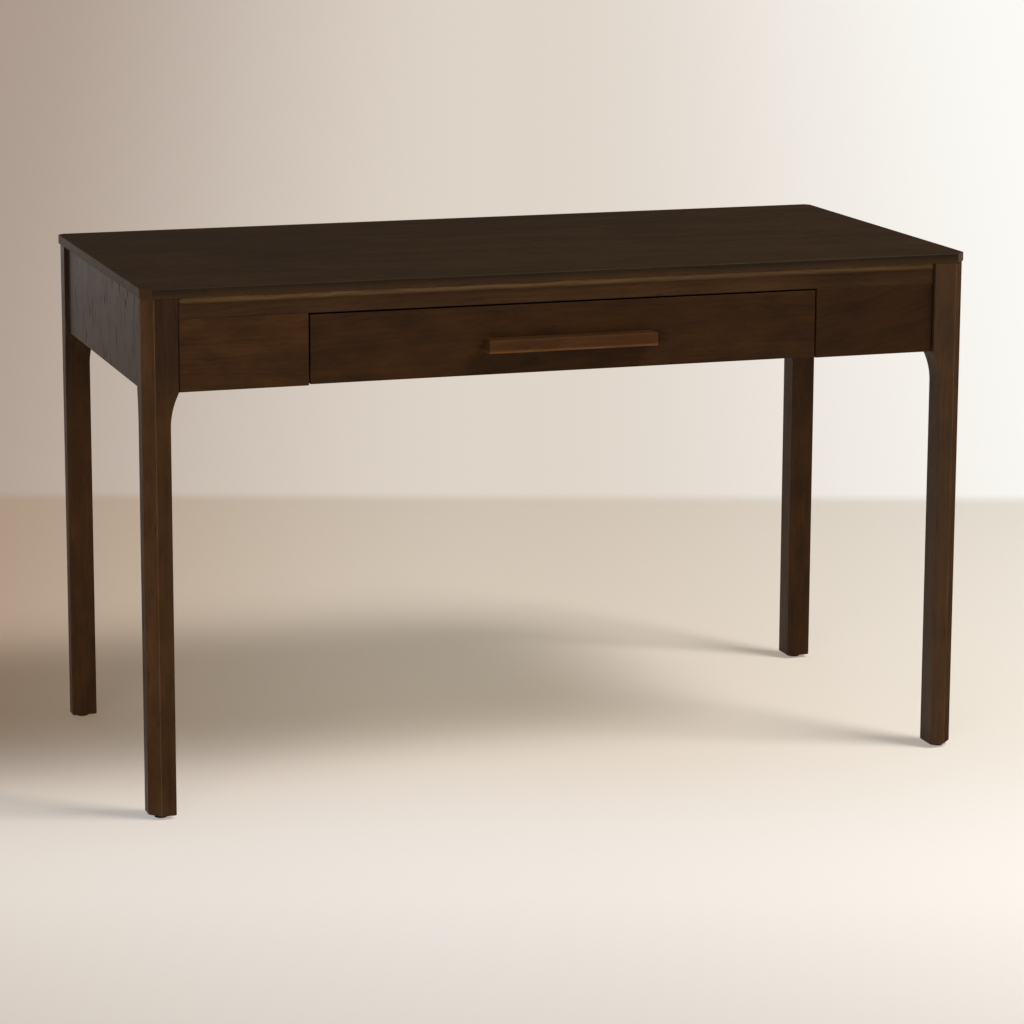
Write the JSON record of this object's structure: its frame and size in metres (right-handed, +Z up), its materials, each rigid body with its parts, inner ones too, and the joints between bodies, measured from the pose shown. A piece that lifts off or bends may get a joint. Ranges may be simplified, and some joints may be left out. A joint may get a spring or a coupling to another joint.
{
  "type": "writing desk",
  "caption": "Dark stained wooden writing desk on tapered-knee legs with chamfered corners, a thin top and a wide inset drawer with a bar pull on telescopic slides.",
  "frame": {"origin": "on the floor, under the middle of the desk's whole box, pull included", "axes": "+X along the desk to the sitter's right, +Y away from the sitter, +Z up"},
  "size_m": [1.25, 0.619, 0.76],
  "materials": {
    "stained_walnut": "dark brown stain under satin lacquer",
    "pull_walnut": "brown stain under satin lacquer",
    "drawer_beech": "clear lacquer",
    "drawer_plywood": "clear lacquer",
    "frame_poplar": "planed, unfinished",
    "slide_steel": "bright zinc plate",
    "zinc_steel": "bright zinc plate",
    "black_nylon": "moulded"
  },
  "bodies": {
    "desk_frame": {"tabletop": "stained_walnut", "front_rail": "stained_walnut", "back_apron": "stained_walnut", "leg_front_left": "stained_walnut", "leg_front_right": "stained_walnut", "leg_back_left": "stained_walnut", "leg_back_right": "stained_walnut", "glide_front_left": "black_nylon", "glide_front_right": "black_nylon", "glide_back_left": "black_nylon", "glide_back_right": "black_nylon", "corner_block_front_left": "frame_poplar", "corner_block_front_right": "frame_poplar", "corner_block_back_left": "frame_poplar", "corner_block_back_right": "frame_poplar", "front_panel_left": "stained_walnut", "front_panel_right": "stained_walnut", "side_apron_left": "stained_walnut", "side_apron_right": "stained_walnut", "drawer_bay_left": "frame_poplar", "drawer_bay_right": "frame_poplar", "top_cleat_left": "frame_poplar", "top_cleat_right": "frame_poplar", "slide_fixed_left": "slide_steel", "slide_fixed_right": "slide_steel", "top_cleat_back": "frame_poplar", "centre_stretcher": "frame_poplar", "bay_glue_blocks": "frame_poplar", "leg_bolts": "zinc_steel", "leg_bolt_washers": "zinc_steel", "top_screws": "zinc_steel", "slide_fixed_screws": "zinc_steel"},
    "drawer": {"drawer_front": "stained_walnut", "drawer_box_front": "drawer_beech", "drawer_back": "drawer_beech", "drawer_bottom": "drawer_plywood", "drawer_pull": "pull_walnut", "drawer_front_screws": "zinc_steel", "pull_screws": "zinc_steel", "slide_drawer_screws": "zinc_steel", "drawer_side_left": "drawer_beech", "drawer_side_right": "drawer_beech", "slide_drawer_left": "slide_steel", "slide_drawer_right": "slide_steel"},
    "left_slide_middle": {"slide_middle_left": "slide_steel"},
    "right_slide_middle": {"slide_middle_right": "slide_steel"}
  },
  "joints": [
    {"name": "drawer_slide", "type": "slide", "parent": "desk_frame", "child": "drawer", "axis": [0, -1, 0], "range_m": [0, 0.4]},
    {"name": "left_middle_slide", "type": "slide", "parent": "desk_frame", "child": "left_slide_middle", "axis": [0, -1, 0], "range_m": [0, 0.2]},
    {"name": "right_middle_slide", "type": "slide", "parent": "desk_frame", "child": "right_slide_middle", "axis": [0, -1, 0], "range_m": [0, 0.2]}
  ],
  "couplings": [
    {"joint": "left_middle_slide", "follows": "drawer_slide", "ratio": 0.5},
    {"joint": "right_middle_slide", "follows": "drawer_slide", "ratio": 0.5}
  ]
}
